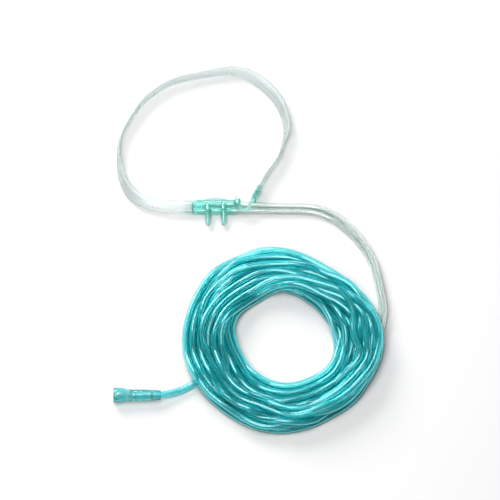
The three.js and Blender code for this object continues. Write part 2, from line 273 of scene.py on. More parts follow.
def hollow_tube(name: str, line: np.ndarray, outer: float, wall: float, detail: int) -> Object:
    """A tube with a bore along a line.

    Args:
        name: Name of the piece.
        line: Centre points in mm.
        outer: Outer diameter in mm.
        wall: Wall thickness in mm.
        detail: Bevel resolution, which sets the corners round the tube.

    Returns:
        The tube, its ends closed from outer to inner wall.
    """
    curve = bpy.data.curves.new(name, "CURVE")
    curve.dimensions = "3D"
    curve.bevel_depth = outer / 2 * MM
    curve.bevel_resolution = detail
    spline = curve.splines.new("POLY")
    spline.points.add(len(line) - 1)
    places = np.column_stack([line[:, :3] * MM, np.ones(len(line))])
    spline.points.foreach_set("co", places.ravel())
    helper = new_object(name + "_line", curve)
    bpy.context.view_layer.update()
    mesh = bpy.data.meshes.new_from_object(helper.evaluated_get(bpy.context.evaluated_depsgraph_get()))
    bpy.data.objects.remove(helper)
    piece = new_object(name, mesh)
    solidify = piece.modifiers.new("wall", "SOLIDIFY")
    solidify.thickness = wall * MM
    solidify.offset = -1.0
    solidify.use_rim = True
    applied(piece)
    piece.data.shade_smooth()
    return piece


def linear(colour: str) -> tuple:
    """An sRGB hex colour as linear RGBA."""
    parts = [int(colour[i : i + 2], 16) / 255 for i in (1, 3, 5)]
    return tuple(p / 12.92 if p <= 0.04045 else ((p + 0.055) / 1.055) ** 2.4 for p in parts) + (1.0,)


def add_node(tree: NodeTree, kind: str, settings: dict, links: dict | None = None) -> Node:
    """Adds a node.

    Args:
        tree: The node tree.
        kind: The node's type name.
        settings: Values by input name or, for the node's own settings, by attribute name.
        links: Output sockets by the name of the input that they feed.

    Returns:
        The new node.
    """
    node = tree.nodes.new(kind)
    for name, value in settings.items():
        if name in node.inputs:
            node.inputs[name].default_value = value
        else:
            setattr(node, name, value)
    for name, socket in (links or {}).items():
        tree.links.new(socket, node.inputs[name])
    return node


@dataclass(frozen=True)
class SoftPvc:
    """Plasticised PVC, clear or tinted in the mass, its tint deeper where it is thicker.

    Attributes:
        name: Name of the material.
        tint: Colour of the light that passes the surface.
        shade: Colour that is left of the light after a way through the mass.
        density: Strength of that absorption.
        body: Colour of the light that is scattered back.
        milk: Share of the light that is scattered back.
        roughness: Middle value of the surface's roughness.
        patch: Width of the clouding's patches in mm.
        ripple: Height of the surface's ripples in mm.
        ripple_size: Length of the ripples in mm.
        ior: Refractive index.
    """

    name: str
    tint: str
    shade: str
    density: float
    body: str
    milk: float
    roughness: float
    patch: float
    ripple: float
    ripple_size: float
    ior: float = 1.53

    def material(self) -> Material:
        """The node material: clear resin that absorbs light, with faint clouding and a hand-handled gloss."""
        made = bpy.data.materials.new(self.name)
        made.use_nodes = True
        tree = made.node_tree
        tree.nodes.clear()
        place = add_node(tree, "ShaderNodeTexCoord", {}).outputs["Object"]
        cloud = add_node(
            tree, "ShaderNodeTexNoise", {"Scale": 1000 / self.patch, "Detail": 3.0}, {"Vector": place}
        )
        tint = linear(self.tint)
        pale = tuple(min(1.0, c * 1.06 + 0.01) for c in tint[:3]) + (1.0,)
        # The mix node's colour sockets share their names with its other sockets, so they go by number
        colour = add_node(tree, "ShaderNodeMix", {"data_type": "RGBA"})
        colour.inputs[6].default_value = tint
        colour.inputs[7].default_value = pale
        tree.links.new(cloud.outputs["Fac"], colour.inputs[0])
        gloss = add_node(
            tree, "ShaderNodeMapRange",
            {
                "From Min": 0.3, "From Max": 0.7,
                "To Min": self.roughness * 0.7, "To Max": self.roughness * 1.4,
            },
            {"Value": cloud.outputs["Fac"]},
        )
        ripples = add_node(
            tree, "ShaderNodeTexNoise", {"Scale": 1000 / self.ripple_size, "Detail": 2.0}, {"Vector": place}
        )
        bump = add_node(
            tree, "ShaderNodeBump",
            {"Strength": 1.0, "Distance": self.ripple * MM}, {"Height": ripples.outputs["Fac"]},
        )
        surface = add_node(
            tree, "ShaderNodeBsdfPrincipled",
            {"Transmission Weight": 1.0, "IOR": self.ior},
            {
                "Base Color": colour.outputs[2], "Roughness": gloss.outputs["Result"],
                "Normal": bump.outputs["Normal"],
            },
        )
        # Light that the pigment and plasticiser scatter back
        haze = add_node(tree, "ShaderNodeBsdfDiffuse", {"Color": linear(self.body)})
        mass = add_node(tree, "ShaderNodeMixShader", {"Fac": self.milk})
        tree.links.new(surface.outputs["BSDF"], mass.inputs[1])
        tree.links.new(haze.outputs["BSDF"], mass.inputs[2])
        depth = add_node(
            tree, "ShaderNodeVolumeAbsorption", {"Color": linear(self.shade), "Density": self.density}
        )
        add_node(
            tree, "ShaderNodeOutputMaterial", {},
            {"Surface": mass.outputs["Shader"], "Volume": depth.outputs["Volume"]},
        )
        return made


# Extruded tubing: drawn smooth, so its gloss is high and its ripples are long
TUBE_PVC = SoftPvc(
    "extruded_tinted_pvc", tint="#ecfeff", shade="#00f8fb", density=560.0, body="#00d2d6", milk=0.06,
    roughness=0.07, patch=9.0, ripple=0.002, ripple_size=7.0, ior=1.50,
)
# Nearly clear extruded tubing with a faint green cast
BRANCH_PVC = SoftPvc(
    "extruded_pale_pvc", tint="#fcfffd", shade="#60f0e0", density=18.0, body="#e0f2ea", milk=0.14,
    roughness=0.12, patch=9.0, ripple=0.003, ripple_size=5.0,
)
# Injection-moulded nosepiece and adjuster: soft and pale, satin from the tool's surface
NOSE_PVC = SoftPvc(
    "moulded_soft_pvc", tint="#ecfffa", shade="#10eee8", density=150.0, body="#98e8da", milk=0.10,
    roughness=0.14, patch=4.0, ripple=0.006, ripple_size=1.6,
)
# Injection-moulded fittings: firmer, satin, denser in tint
FITTING_PVC = SoftPvc(
    "moulded_tinted_pvc", tint="#e0ffff", shade="#08ecee", density=300.0, body="#60c4c4", milk=0.12,
    roughness=0.14, patch=4.0, ripple=0.006, ripple_size=1.6,
)
# Calendered strap: matte from the rolls, barely tinted
STRAP_PVC = SoftPvc(
    "calendered_clear_pvc", tint="#f4f8f7", shade="#90dcd4", density=60.0, body="#d8dede", milk=0.16,
    roughness=0.36, patch=6.0, ripple=0.004, ripple_size=1.6,
)


def finished(piece: Object, material: Material, slot: Slot, *nodes: str) -> Object:
    """Gives a piece its material and its body, and hides the CAD nodes that it stands for."""
    piece.data.materials.clear()
    piece.data.materials.append(material)
    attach(piece, BODY)
    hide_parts(*nodes)
    LOG.info("%s: %d faces", piece.name, len(piece.data.polygons))
    return piece


@dataclass
class Studio:
    """Camera at the photograph's angle, a pale floor, a dim sky and two softboxes."""

    elevation: float = 65.0
    lens: float = 1500.0
    sensor: float = 36.0
    view_width: float = 440.0
    aim: tuple = (40.9, -98.5, 0.0)
    clip: tuple = (0.1, 50.0)
    sky: float = 0.34
    floor_half: float = 6000.0
    floor_z: float = -0.2
    floor_grey: float = 0.56
    # Each softbox: heading and elevation it shines from, distance, width, depth in mm, and watts
    softboxes: tuple = (
        ("key", 122.0, 34.0, 1500.0, 900.0, 900.0, 29.0),
        ("overhead", 244.0, 76.0, 1300.0, 560.0, 1300.0, 20.0),
    )

    def camera(self) -> None:
        """Makes the camera, far enough away that view_width fills the frame."""
        data = bpy.data.cameras.new("camera")
        data.lens = self.lens
        data.sensor_width = self.sensor
        distance = self.view_width / 2 / (self.sensor / 2 / self.lens) * MM
        angle = math.radians(self.elevation)
        back = Vector((0.0, -math.cos(angle), math.sin(angle)))
        camera = bpy.data.objects.new("camera", data)
        camera.location = Vector(self.aim) * MM + back * distance
        camera.rotation_mode = "QUATERNION"
        camera.rotation_quaternion = (-back).to_track_quat("-Z", "Y")
        data.clip_start, data.clip_end = self.clip
        bpy.context.scene.collection.objects.link(camera)
        bpy.context.scene.camera = camera

    def floor(self) -> None:
        """A wide matte pale floor."""
        bm = bmesh.new()
        bmesh.ops.create_grid(bm, x_segments=1, y_segments=1, size=self.floor_half * MM)
        bmesh.ops.translate(bm, vec=(0.0, 0.0, self.floor_z * MM), verts=bm.verts)
        piece = new_object("floor", mesh_of(bm, "floor"))
        made = bpy.data.materials.new("white_paper")
        made.use_nodes = True
        shader = made.node_tree.nodes["Principled BSDF"]
        shader.inputs["Base Color"].default_value = (*[self.floor_grey] * 3, 1.0)
        shader.inputs["Roughness"].default_value = 0.9
        shader.inputs["Specular IOR Level"].default_value = 0.1
        piece.data.materials.append(made)

    def lights(self) -> None:
        """A dim even sky and the softboxes."""
        world = bpy.data.worlds.new("sky")
        world.use_nodes = True
        world.node_tree.nodes["Background"].inputs["Color"].default_value = (1.0, 1.0, 1.0, 1.0)
        world.node_tree.nodes["Background"].inputs["Strength"].default_value = self.sky
        bpy.context.scene.world = world
        for name, bearing, elevation, distance, width, depth, power in self.softboxes:
            data = bpy.data.lights.new(name, "AREA")
            data.shape = "RECTANGLE"
            data.size = width * MM
            data.size_y = depth * MM
            data.energy = power
            angle = math.radians(elevation)
            way = heading(bearing) * math.cos(angle) + UP * math.sin(angle)
            light = bpy.data.objects.new(name, data)
            light.location = Vector(self.aim) * MM + way * distance * MM
            light.rotation_mode = "QUATERNION"
            light.rotation_quaternion = way.to_track_quat("Z", "Y")
            bpy.context.scene.collection.objects.link(light)

    def look(self) -> None:
        """Plain view transform, and enough bounces for many clear walls in a row."""
        scene = bpy.context.scene
        scene.view_settings.view_transform = "Standard"
        scene.cycles.max_bounces = 40
        scene.cycles.transmission_bounces = 40
        scene.cycles.glossy_bounces = 6
        scene.cycles.diffuse_bounces = 4


@dataclass
class BranchTubes:
    """The two thin tubes from the nosepiece to the Y fitting, one over the other towards the coil."""

    outer: float = 4.8
    wall: float = 0.9
    spacing: float = 2.4
    detail: int = 4

    UPPER = (
        (27.4, -55.8, 3.8), (33.0, -55.8, 3.8), (39.0, -55.9, 3.75), (45.0, -56.1, 3.5),
        (53.0, -56.5, 3.0), (63.0, -56.8, 2.6), (75.0, -56.9, 2.5), (86.2, -57.0, 2.5),
        (95.8, -57.9, 2.8), (103.6, -59.9, 3.5), (111.4, -63.6, 4.6), (118.1, -68.0, 5.4),
        (124.5, -74.1, 6.1), (135.2, -86.2, 6.8), (144.5, -100.5, 7.1), (150.6, -114.6, 7.2),
        (154.2, -129.7, 7.2), (157.3, -145.1, 7.2), (158.9, -156.0, 7.1), (158.9, -164.4, 6.7),
        (158.2, -171.0, 5.7), (157.1, -175.0, 4.7), (156.05, -178.1, 4.25), (155.2, -182.9, 4.2),
    )
    LOWER = (
        (23.9, -61.8, 3.2), (29.6, -61.8, 3.2), (36.0, -61.8, 3.15), (43.0, -61.8, 2.9),
        (53.0, -61.8, 2.6), (63.0, -61.9, 2.45), (75.0, -62.0, 2.45), (86.0, -62.1, 2.45),
        (95.0, -62.9, 2.45), (102.0, -64.6, 2.45), (109.3, -67.8, 2.45), (115.6, -71.5, 2.45),
        (122.0, -76.8, 2.45), (133.0, -88.0, 2.45), (142.4, -101.7, 2.45), (148.5, -115.3, 2.45),
        (152.2, -130.2, 2.45), (155.2, -145.4, 2.45), (156.2, -156.0, 2.45), (154.9, -164.5, 2.6),
        (152.3, -170.8, 3.2), (150.1, -174.5, 4.0), (148.95, -176.9, 4.2), (148.1, -181.8, 4.2),
    )

    def build(self, material: Material, wye: Object) -> None:
        for name, route, node in (
            ("branch_line_upper", self.UPPER, "branch_tube_upper"),
            ("branch_line_lower", self.LOWER, "branch_tube_lower"),
        ):
            line = smooth_line(list(route), self.spacing)
            tube = hollow_tube(name, line, self.outer, self.wall, self.detail)
            finished(tube, material, Slot.CLEAR, node)


@dataclass
class SupplyTube:
    """The long supply tube, from the Y fitting through two families of oval turns to the connector.

    A family's row gives, for each of eight bearings, where its innermost and outermost turns lie as a
    share of the ring's width, and their heights in mm. The bearings go round clockwise from the right.
    """

    outer: float = 6.2
    wall: float = 1.0
    spacing: float = 4.0
    final_spacing: float = 3.4
    detail: int = 4
    centre: tuple = (70.2, -188.4)
    top: float = 21.4
    seed: int = 5
    # How far two neighbouring turns of a family lie apart in height, and what is drawn at random
    stagger: float = 1.5
    share_play: float = 0.04
    height_play: float = 0.3
    # Height at which the first turn starts, how far it climbs, and the height at which the last turn lies
    climb_from: float = 4.2
    climb_by: float = 6.8
    floor_turn: float = 3.4
    # The settling: the tube swells from a thread to full size in the first share of the rounds
    rounds: int = 600
    quick_rounds: int = 250
    swelling: float = 0.55
    thread: float = 1.2
    full: float = 1.03
    fall: float = 0.06
    held_start: float = 9.0
    held_end: float = 118.0

    UPPER = (
        (0.86, 1.0, 17.0, 4.0), (0.78, 1.0, 17.0, 4.0), (0.52, 1.0, 15.0, 4.0), (0.60, 1.0, 16.0, 10.0),
        (0.28, 1.0, 14.0, 10.0), (0.03, 1.0, 12.0, 9.0), (0.0, 1.0, 11.0, 8.0), (0.42, 1.0, 15.0, 5.0),
    )
    LOWER = (
        (0.0, 0.60, 4.0, 8.0), (0.0, 0.62, 4.0, 5.0), (0.0, 0.46, 8.0, 5.0), (0.0, 0.50, 10.5, 10.0),
        (0.0, 0.34, 10.0, 10.0), (0.0, 0.5, 4.0, 6.0), (0.02, 0.62, 4.0, 4.0), (0.0, 0.60, 4.0, 6.0),
    )
    # Radii that the turns' centrelines keep between, every 15 degrees anticlockwise from the right
    INNER_EDGE = (
        47.4, 45.4, 44.9, 45.6, 45.8, 48.6, 49.4, 48.7, 46.2, 47.1, 47.8, 47.4,
        43.6, 42.1, 40.9, 43.2, 44.7, 47.4, 48.9, 48.9, 48.7, 50.2, 50.7, 48.7,
    )
    OUTER_EDGE = (
        85.1, 82.9, 80.3, 76.1, 74.1, 77.0, 82.1, 87.1, 88.0, 88.2, 86.7, 85.0,
        85.9, 86.2, 85.0, 83.4, 84.0, 85.9, 86.0, 83.8, 82.0, 83.2, 82.6, 83.6,
    )
    UPPER_ORDER = (9, 8, 7, 6, 5, 4, 3, 2, 1, 0)
    LOWER_ORDER = (7, 8, 6, 5, 3, 4, 2, 1, 0)
    LEAD_IN = ((148.99, -197.5, 4.2), (148.0, -203.1, 4.2), (146.6, -209.6, 4.2))
    LEAD_OUT = (
        (62.9, -237.3, 3.1), (52.0, -234.6, 3.1), (40.9, -230.0, 3.1), (30.0, -226.0, 3.1),
        (18.9, -224.0, 3.1), (7.5, -224.6, 3.1), (-1.5, -226.4, 3.1), (-10.2, -230.4, 3.15),
        (-16.0, -234.0, 3.15), (-22.5, -236.8, 3.5), (-29.5, -239.4, 4.5), (-34.0, -241.0, 5.6),
        (-38.2, -241.8, 6.3), (-40.5, -241.8, 6.4), (-45.9, -241.8, 6.4),
    )
    # What the turns lie over, as capsules: two ends and a radius
    UNDER = (
        ((156.0, -178.1, 4.2), (153.9, -187.9, 4.2), 3.6), ((148.9, -176.9, 4.2), (147.6, -186.8, 4.2), 3.6),
        ((151.1, -185.4, 4.2), (148.0, -203.1, 4.2), 4.3), ((158.9, -156.0, 7.1), (158.9, -164.4, 6.7), 2.4),
        ((158.9, -164.4, 6.7), (157.1, -175.0, 4.7), 2.4), ((156.2, -156.0, 2.45), (154.9, -164.5, 2.6), 2.4),
        ((154.9, -164.5, 2.6), (150.1, -174.5, 4.0), 2.4),
    )

    def edges(self, bearing: np.ndarray | float) -> tuple:
        """Inner and outer limit of the turns' centrelines at a bearing in radians."""
        steps = np.arange(len(self.INNER_EDGE)) * 15.0
        degrees = np.degrees(bearing) % 360
        limits = (self.INNER_EDGE, self.OUTER_EDGE)
        return tuple(np.interp(degrees, steps, limit, period=360) for limit in limits)

    def knots(self) -> list:
        """Knots of the whole tube before it settles."""
        drawn = np.random.default_rng(self.seed)
        turns = []
        for family, order in ((self.UPPER, self.UPPER_ORDER), (self.LOWER, self.LOWER_ORDER)):
            turns += [(family, v / (len(order) - 1), v % 2) for v in order]
        last = len(turns) - 1
        found = []
        for t, (family, share, odd) in enumerate(turns):
            for k, (low, high, low_z, high_z) in enumerate(family):
                at = low + (high - low) * share + drawn.uniform(-self.share_play, self.share_play)
                z = low_z + (high_z - low_z) * share + odd * self.stagger
                z += drawn.uniform(-self.height_play, self.height_play)
                if t == 0:
                    z = self.climb_from + self.climb_by * min(1.0, (k - 1) / 2)
                if t == last:
                    z = self.floor_turn
                # The leads take the place of the first knot and of the last turn's rest
                if (t == 0 and k == 0) or (t == last and k > 1):
                    continue
                angle = math.radians(-45 * k)
                inner, outer = self.edges(angle)
                radius = inner + (outer - inner) * min(1.0, max(0.0, at))
                found.append(
                    (self.centre[0] + radius * math.cos(angle), self.centre[1] + radius * math.sin(angle), z)
                )
        return list(self.LEAD_IN) + found + list(self.LEAD_OUT)

    def settled(self, line: np.ndarray) -> np.ndarray:
        """Lets the tube swell from a thread to its real size and settle on the floor and on itself.

        Args:
            line: Even points of the thread, in mm.

        Returns:
            The points once the turns rest on each other.
        """
        count = len(line)
        place = line.copy()
        along = np.arange(count) * self.spacing
        held = (along < self.held_start) | (along > along[-1] - self.held_end)
        loose = (~held).astype(float)
        step = line_length(line) / (count - 1)
        rounds = self.rounds
        for n in range(rounds):
            grown = min(1.0, n / (rounds * self.swelling))
            size = self.thread + (self.outer * self.full - self.thread) * grown
            # The pairs are looked up with 2 mm to spare, so every eighth round is enough
            if n % 8 == 0:
                first, second = self.near_pairs(place, size + 2.0)
            place[:, 2] -= self.fall * loose * grown**2
            for _ in range(2):
                self.part_turns(place, first, second, size, loose)
            self.clear_fitting(place, size, held)
            self.straighten(place, loose)
            self.keep_length(place, step, loose)
            self.keep_in_ring(place, size, held)
        first, second = self.near_pairs(place, self.outer)
        deepest = self.outer - np.linalg.norm(place[first] - place[second], axis=1).min(initial=self.outer)
        LOG.info("settled: turns press into each other by %.2f mm at most", deepest)
        return place

    @staticmethod
    def near_pairs(place: np.ndarray, reach: float) -> tuple:
        """Pairs of points within reach that aren't neighbours on the tube."""
        small = place.astype(np.float32)
        firsts, seconds = [], []
        for start in range(0, len(small), 400):
            apart = ((small[start : start + 400, None, :] - small[None, :, :]) ** 2).sum(2)
            a, b = np.nonzero(apart < reach**2)
            a = a + start
            keep = b > a + 3
            firsts.append(a[keep])
            seconds.append(b[keep])
        return np.concatenate(firsts), np.concatenate(seconds)

    @staticmethod
    def part_turns(
        place: np.ndarray, first: np.ndarray, second: np.ndarray, size: float, loose: np.ndarray
    ) -> None:
        """Pushes points apart that are closer than size."""
        gap = place[first] - place[second]
        apart = np.linalg.norm(gap, axis=1)
        near = apart < size
        a, b = first[near], second[near]
        shared = np.maximum(loose[a] + loose[b], 1.0)
        push = gap[near] / np.maximum(apart[near], 1e-6)[:, None] * ((size - apart[near]) / shared)[:, None]
        count = len(place)
        hits = np.maximum(np.bincount(a, minlength=count) + np.bincount(b, minlength=count), 1)
        for k in range(3):
            move = np.bincount(a, push[:, k], count) - np.bincount(b, push[:, k], count)
            place[:, k] += move / hits**0.6 * loose

    def clear_fitting(self, place: np.ndarray, size: float, held: np.ndarray) -> None:
        """Keeps the turns off the fitting and the branch tubes under them."""
        for start, end, radius in self.UNDER:
            start, way = np.array(start), np.array(end) - np.array(start)
            share = np.clip((place - start) @ way / (way @ way), 0, 1)
            gap = place - start - share[:, None] * way
            apart = np.linalg.norm(gap, axis=1)
            need = radius + size / 2
            near = (apart < need) & ~held
            place[near] += gap[near] / apart[near][:, None] * (need - apart[near])[:, None] * 0.5

    @staticmethod
    def straighten(place: np.ndarray, loose: np.ndarray) -> None:
        """The tube's own stiffness."""
        for _ in range(8):
            bend = np.zeros_like(place)
            bend[2:-2] = place[:-4] - 4 * place[1:-3] + 6 * place[2:-2] - 4 * place[3:-1] + place[4:]
            place -= 0.06 * bend * loose[:, None]

    @staticmethod
    def keep_length(place: np.ndarray, step: float, loose: np.ndarray) -> None:
        """Keeps neighbouring points step apart."""
        for _ in range(2):
            for odd in (0, 1):
                a = place[odd:-1:2]
                b = place[odd + 1 :: 2][: len(a)]
                way = b - a
                apart = np.linalg.norm(way, axis=1)
                move = way / apart[:, None] * ((apart - step) * 0.3)[:, None]
                a += move * loose[odd:-1:2][:, None]
                b -= move * loose[odd + 1 :: 2][: len(a)][:, None]

    def keep_in_ring(self, place: np.ndarray, size: float, held: np.ndarray) -> None:
        """Keeps the turns between the ring's radii, above the floor and below its top."""
        half = self.outer / 2
        flat = place[:, :2] - self.centre
        radius = np.linalg.norm(flat, axis=1)
        wanted = np.clip(radius, *self.edges(np.arctan2(flat[:, 1], flat[:, 0])))
        factor = np.where(held, 1.0, 1 + (wanted / radius - 1) * 0.5)
        place[:, :2] = self.centre + flat * factor[:, None]
        place[:, 2] = np.where(held, place[:, 2], np.maximum(place[:, 2], size / 2))
        place[:, 2] -= np.where(held, 0.0, np.maximum(place[:, 2] - (self.top - half), 0) * 0.25)

    def build(self, material: Material, connector: Object) -> None:
        thread = smooth_line(self.knots(), self.spacing)
        line = even_points(smooth_line(list(self.settled(thread)), 1.0), self.final_spacing)
        tube = hollow_tube("supply_line", line, self.outer, self.wall, self.detail)
        finished(tube, material, Slot.TUBE, "supply_coil", "supply_tube_end")


@dataclass
class HeadStrap:
    """The flat band round the head: a thin web between two thicker edges, and a fine rib down its middle."""

    width: float = 10.5
    edge_thickness: float = 1.8
    web_thickness: float = 1.15
    bead_height: float = 1.9
    rib_height: float = 0.5
    rib_thickness: float = 1.35
    spacing: float = 1.6
    axis_z: float = 5.327

    ROUTE = (
        (-9.9, -58.5, 90), (-17.9, -58.5, 90), (-25.9, -58.5, 82), (-38.3, -57.6, 72), (-51.5, -54.0, 66),
        (-60.6, -48.3, 58), (-67.6, -39.8, 42), (-73.0, -25.4, 24), (-74.7, -8.8, 12), (-73.4, 6.5, 10),
        (-68.0, 20.4, 8), (-56.2, 39.7, 4), (-47.2, 49.4, 2), (-26.8, 63.2, 0), (2.2, 70.5, -4),
        (18.9, 73.4, -14), (28.5, 72.8, -26), (41.5, 68.9, -40), (57.2, 56.2, -48), (67.6, 41.6, -42),
        (72.7, 25.2, -32), (73.3, 14.5, -26), (71.2, 5.6, -18), (65.3, -13.0, -4), (55.54, -28.89, 0),
        (50.73, -38.44, 0), (47.14, -45.59, 0),
    )

    def section(self) -> list:
        """The band's section, right face up and left face down."""
        half, bead = self.width / 2, self.bead_height
        edge, web, rib = self.edge_thickness / 2, self.web_thickness / 2, self.rib_thickness / 2
        right = [
            (edge * 0.4, -half), (edge * 0.85, -half + 0.2), (edge, -half + 0.6), (edge, -half + bead * 0.7),
            (web, -half + bead), (web, -self.rib_height), (rib, 0.0), (web, self.rib_height),
            (web, half - bead), (edge, half - bead * 0.7), (edge, half - 0.6), (edge * 0.85, half - 0.2),
            (edge * 0.4, half),
        ]
        return right + [(-x, y) for x, y in reversed(right)]

    def build(self, material: Material) -> Object:
        """Sweeps the band along its route."""
        rows = [(x, y, self.axis_z, lean) for x, y, lean in self.ROUTE]
        line = smooth_line(rows, self.spacing)
        bm = bmesh.new()
        sweep(bm, self.section(), section_frames(line, lean=line[:, 3]))
        band = new_object("strap_band", mesh_of(bm, "strap_band"))
        return finished(band, material, Slot.CLEAR, "head_strap")


@dataclass
class NosePiece:
    """The moulded nosepiece: two barrels, two curved prongs, a back pad, the strap lug and the eyelet."""

    left: float = -9.6
    length: float = 42.6
    main: float = 7.6
    main_y: float = -55.8
    main_bore: float = 4.2
    solid_end: float = 9.0
    side: float = 6.4
    side_y: float = -61.8
    side_bore: float = 3.4
    side_setback: float = 3.4
    socket_radius: float = 2.7
    socket_depth: float = 6.0
    middle_x: float = 10.8
    prong_spacing: float = 13.8
    prong_base: float = 6.3
    prong_tip: float = 3.4
    prong_taper: float = 2.2
    bore_base: float = 3.2
    bore_tip: float = 1.6
    pad_length: float = 28.0
    pad_rise: float = 2.4
    pad_thickness: float = 1.4
    rib_pitch: float = 2.1
    rib_height: float = 0.22
    strap_width: float = 10.5
    lug_length: float = 6.0
    lug_thickness: float = 1.8
    lug_y: float = -58.5
    lug_top: float = 4.127
    eyelet_x: float = 29.5
    eyelet_turn: float = 18.0
    eyelet_z: float = 9.6
    eyelet_hole: float = 4.0
    eyelet_wall: float = 1.2
    eyelet_depth: float = 2.4

    def barrel(self, x0: float, x1: float, y: float, diameter: float, ribs: tuple | None) -> BMesh:
        """A barrel with a rounded closed left end, and fine ribs between two places along it."""
        r = diameter / 2
        arc = [(x0 + r - r * math.cos(a), r * math.sin(a)) for a in np.linspace(0, math.pi / 2, 12)]
        body = []
        if ribs:
            crest = r + self.rib_height
            x = ribs[0]
            while x < ribs[1]:
                body += [(x, r), (x + 0.35, crest), (x + 0.75, crest), (x + 1.1, r)]
                x += self.rib_pitch
        profile = arc + body + [(x1 - 0.4, r), (x1, r - 0.4), (x1, 0.0)]
        bm = bmesh.new()
        turned(bm, profile, Vector((0.0, y, r)) * MM, 48)
        return bm

    def prong_line(self, x: float, beyond: float) -> np.ndarray:
        """Centreline of a prong, run on past its tip by beyond mm."""
        y = self.main_y
        line = smooth_line([(x, y, 4.4), (x, y - 7.92, 5.6), (x, y - 14.26, 4.9), (x, y - 19.8, 3.4)], 0.8)
        if beyond:
            way = line[-1] - line[-2]
            line = np.vstack([line, line[-1] + way / np.linalg.norm(way) * beyond])
        return line

    def prong(self, x: float, base: float, tip: float, beyond: float, power: float = 1.0) -> BMesh:
        """A tapering round solid along a prong. A power above 1 puts most of the taper near its tip."""
        line = self.prong_line(x, beyond)
        size = (base + (tip - base) * np.linspace(0, 1, len(line)) ** power) / 2
        bm = bmesh.new()
        sweep(bm, circle_outline(1.0, 32), section_frames(line, size=size))
        return bm

    def pad(self) -> BMesh:
        """The thin arched plate behind the main barrel."""
        back = self.main_y + self.main / 2
        half = self.pad_length / 2
        corners = [(self.middle_x - half, self.main_y), (self.middle_x + half, self.main_y)]
        ends, crest = back - 1, back + 2 * self.pad_rise
        for t in np.linspace(0, 1, 25):
            x = self.middle_x + half * (1 - 2 * t)
            corners.append((x, (1 - t) ** 2 * ends + 2 * t * (1 - t) * crest + t**2 * ends))
        bm = bmesh.new()
        low = (self.main - self.pad_thickness) / 2
        face = bm.faces.new([bm.verts.new((x * MM, y * MM, low * MM)) for x, y in corners])
        made = bmesh.ops.extrude_face_region(bm, geom=[face])["geom"]
        top = [v for v in made if isinstance(v, BMVert)]
        bmesh.ops.translate(bm, vec=(0.0, 0.0, self.pad_thickness * MM), verts=top)
        return bm

    def eyelet(self, outer: bool) -> BMesh:
        """The bridge for the adjuster's tail, or the hole through it."""
        width = self.eyelet_hole + (2 * self.eyelet_wall if outer else 0.0)
        depth = self.eyelet_depth if outer else 4 * self.eyelet_depth
        bottom = self.main / 2 if outer else self.eyelet_z - self.eyelet_hole / 2
        top = self.eyelet_z + self.eyelet_hole / 2 + (self.eyelet_wall if outer else 0.0)
        place = Matrix.Translation(Vector((self.eyelet_x, self.main_y, (bottom + top) / 2)) * MM)
        bm = bmesh.new()
        rounded_block(
            bm, (width, depth, top - bottom), place @ Matrix.Rotation(math.radians(self.eyelet_turn), 4, "Z"),
            0.9 if outer else 1.6,
        )
        return bm

    def rod(self, x0: float, x1: float, y: float, z: float, radius: float) -> BMesh:
        """A plain rod along X."""
        bm = bmesh.new()
        straight_rod(bm, Vector((x0, y, z)), Vector((x1, y, z)), radius)
        return bm

    def build(self, material: Material) -> Object:
        """Joins and cuts the nosepiece."""
        right = self.left + self.length
        side_right = right - self.side_setback
        prongs = [self.middle_x - self.prong_spacing / 2, self.middle_x + self.prong_spacing / 2]
        lug = bmesh.new()
        lug_x0, lug_x1 = self.left - 0.3 - self.lug_length, self.left + self.main / 2
        centre = Vector(((lug_x0 + lug_x1) / 2, self.lug_y, self.lug_top - self.lug_thickness / 2))
        rounded_block(
            lug, (lug_x1 - lug_x0, self.strap_width, self.lug_thickness), Matrix.Translation(centre * MM), 0.6
        )
        solids = [
            self.barrel(self.left, right, self.main_y, self.main, (0.6, 21.0)),
            self.barrel(self.left - 0.6, side_right, self.side_y, self.side, None),
            self.pad(), self.eyelet(True), lug,
        ]
        solids += [self.prong(x, self.prong_base, self.prong_tip, 0.0, self.prong_taper) for x in prongs]
        main_z, side_z, past = self.main / 2, self.side / 2, right + 2.0
        hollows = [self.prong(x, self.bore_base, self.bore_tip, 1.5) for x in prongs]
        hollows += [
            self.rod(self.left + self.solid_end, past, self.main_y, main_z, self.main_bore / 2),
            self.rod(right - self.socket_depth, past, self.main_y, main_z, self.socket_radius),
            self.rod(self.left + side_z, past, self.side_y, side_z, self.side_bore / 2),
            self.rod(side_right - self.socket_depth, past, self.side_y, side_z, self.socket_radius),
            self.eyelet(False),
        ]
        piece = moulded("nose_piece", solids, hollows, 0.25, 4)
        return finished(piece, material, Slot.TINTED, "nosepiece")


